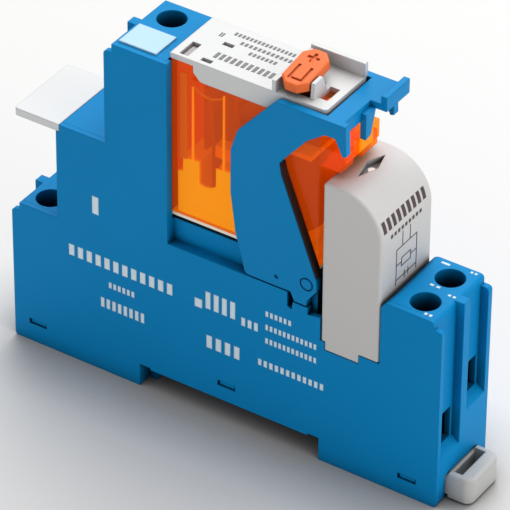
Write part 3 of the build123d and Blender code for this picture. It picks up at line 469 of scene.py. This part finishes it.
def add_print(name, body, boxes, material, bend=None):
    """Thin boxes given as low and high corners in mm, bent if asked, in one piece that rides on a body."""
    verts, faces = [], []
    for low, high in boxes:
        start = len(verts)
        corners = [(x, y, z) for x in (low[0], high[0]) for y in (low[1], high[1]) for z in (low[2], high[2])]
        if bend:
            corners = [bend(*corner) for corner in corners]
        verts += [tuple(value * MM for value in corner) for corner in corners]
        faces += [tuple(start + corner for corner in face) for face in BOX_FACES]
    mesh = bpy.data.meshes.new(name)
    mesh.from_pydata(verts, [], faces)
    mesh.materials.append(material)
    piece = bpy.data.objects.new(name, mesh)
    SCENE.collection.objects.link(piece)
    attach(piece, body)


def dashes(start, length, count):
    """Start and length of each bar in a row, where a single bar fills the row."""
    if count == 1:
        return [(start, length)]
    pitch = length / count
    return [(start + number * pitch, pitch * (1 - BAR_GAP)) for number in range(count)]


def side_row(x, z, length, height, count):
    """Row printed on the near side, given its left end, its middle height and its size."""
    low, high = z - height / 2, z + height / 2
    near, far = SIDE_Y - PRINT_T, SIDE_Y + PRINT_ROOT
    return [((a, near, low), (a + b, far, high)) for a, b in dashes(x, length, count)]


def top_row(x, y, length, width, count, top_z):
    """Row printed on an upward face, given its low corner, its length along X and width along Y."""
    low, high = top_z - PRINT_ROOT, top_z + PRINT_T
    return [((a, y, low), (a + b, y + width, high)) for a, b in dashes(x, length, count)]


def end_row(y, z, width, height, count, slices=1):
    """Row printed on the module's right face, in slices along its height so that it can follow a curve."""
    inner, outer = MODULE_RIGHT - PRINT_ROOT, MODULE_RIGHT + PRINT_T
    step = height / slices
    lows = [z + number * step for number in range(slices)]
    return [((inner, a, c), (outer, a + b, c + step)) for a, b in dashes(y, width, count) for c in lows]


def shoulder(x, y, z):
    """Moves a point of the module's right face back on its round shoulder."""
    rise = max(0.0, z - (MODULE_TOP - SHOULDER_R))
    return x - SHOULDER_R + math.sqrt(SHOULDER_R**2 - rise**2), y, z


# side of the socket: left end, middle height, length, height and number of bars of each row
SIDE_ROWS = (
    (-32.6, 19.0, 22.0, 2.3, 12),
    (-24.4, 14.7, 5.6, 1.2, 6),
    (-26.1, 10.5, 9.4, 2.0, 8),
    (-6.8, 18.6, 1.5, 1.8, 1),
    (-4.6, 19.9, 6.6, 3.5, 4),
    (2.6, 18.4, 3.8, 1.7, 3),
    (-4.4, 11.3, 7.4, 2.6, 4),
    (7.4, 22.0, 5.4, 1.1, 6),
    (7.4, 19.2, 10.4, 1.1, 12),
    (7.4, 16.4, 10.4, 1.1, 12),
    (6.0, 11.4, 13.4, 1.3, 12),
    (-27.6, 30.3, 1.3, 3.6, 1),
)
add_print("side_print", "socket", [box for row in SIDE_ROWS for box in side_row(*row)], INK_WHITE)

# marks beside the right driver holes: low corner, length, width and number of bars of each
TERMINAL_MARKS = (
    (33.8, 0.4, 2.4, 0.5, 2),
    (37.8, -0.5, 1.8, 0.5, 2),
    (32.2, 6.6, 1.6, 0.5, 1),
    (37.6, 6.9, 1.6, 0.5, 2),
    (37.2, -6.9, 1.8, 0.6, 2),
)
terminal_boxes = [box for row in TERMINAL_MARKS for box in top_row(*row, BLOCK_TOP)]
add_print("terminal_print", "socket", terminal_boxes, INK_WHITE)

# top of the relay, given in the same way
CAP_ROWS = (
    (-6.9, 3.8, 12.0, 0.9, 16),
    (-4.6, 2.0, 10.2, 0.9, 12),
    (-1.8, 0.2, 5.6, 0.9, 7),
    (-6.2, -3.5, 12.8, 1.7, 12),
    (-8.9, 2.2, 0.9, 1.2, 2),
)
add_print("cap_print", "relay", [box for row in CAP_ROWS for box in top_row(*row, CAP_TOP)], INK_GREY)

# right face of the module, two rows: low corner, width, height, number of bars and slices of each
MODULE_ROWS = ((-6.8, 46.3, 13.4, 2.0, 9, 5), (-5.0, 44.5, 9.8, 0.7, 9))
# below them a plain diagram: leads, a coil drawn as a box, and a part of two bars across it
LINE = 0.2  # thickness of its lines, each given as low corner, width and height
MODULE_LINES = (
    (-1.4, 41.0, LINE, 3.0),
    (0.9, 41.0, LINE, 3.0),
    (-3.2, 41.0, 6.4, LINE),
    (-3.2, 34.0, LINE, 7.0),
    (3.0, 34.0, LINE, 7.0),
    (-1.6, 38.6, 3.0, LINE),
    (-1.6, 37.0, 3.0, LINE),
    (-1.6, 37.0, LINE, 1.6),
    (1.2, 37.0, LINE, 1.6),
    (-3.2, 37.8, 1.6, LINE),
    (1.4, 37.8, 1.6, LINE),
    (-3.2, 34.9, 6.4, LINE),
    (-0.6, 34.2, LINE, 1.5),
    (0.5, 34.2, LINE, 1.5),
)
module_boxes = [box for row in MODULE_ROWS for box in end_row(*row)]
module_boxes += [box for line in MODULE_LINES for box in end_row(*line, 1)]
add_print("module_print", "coil_module", module_boxes, INK_DARK, shoulder)
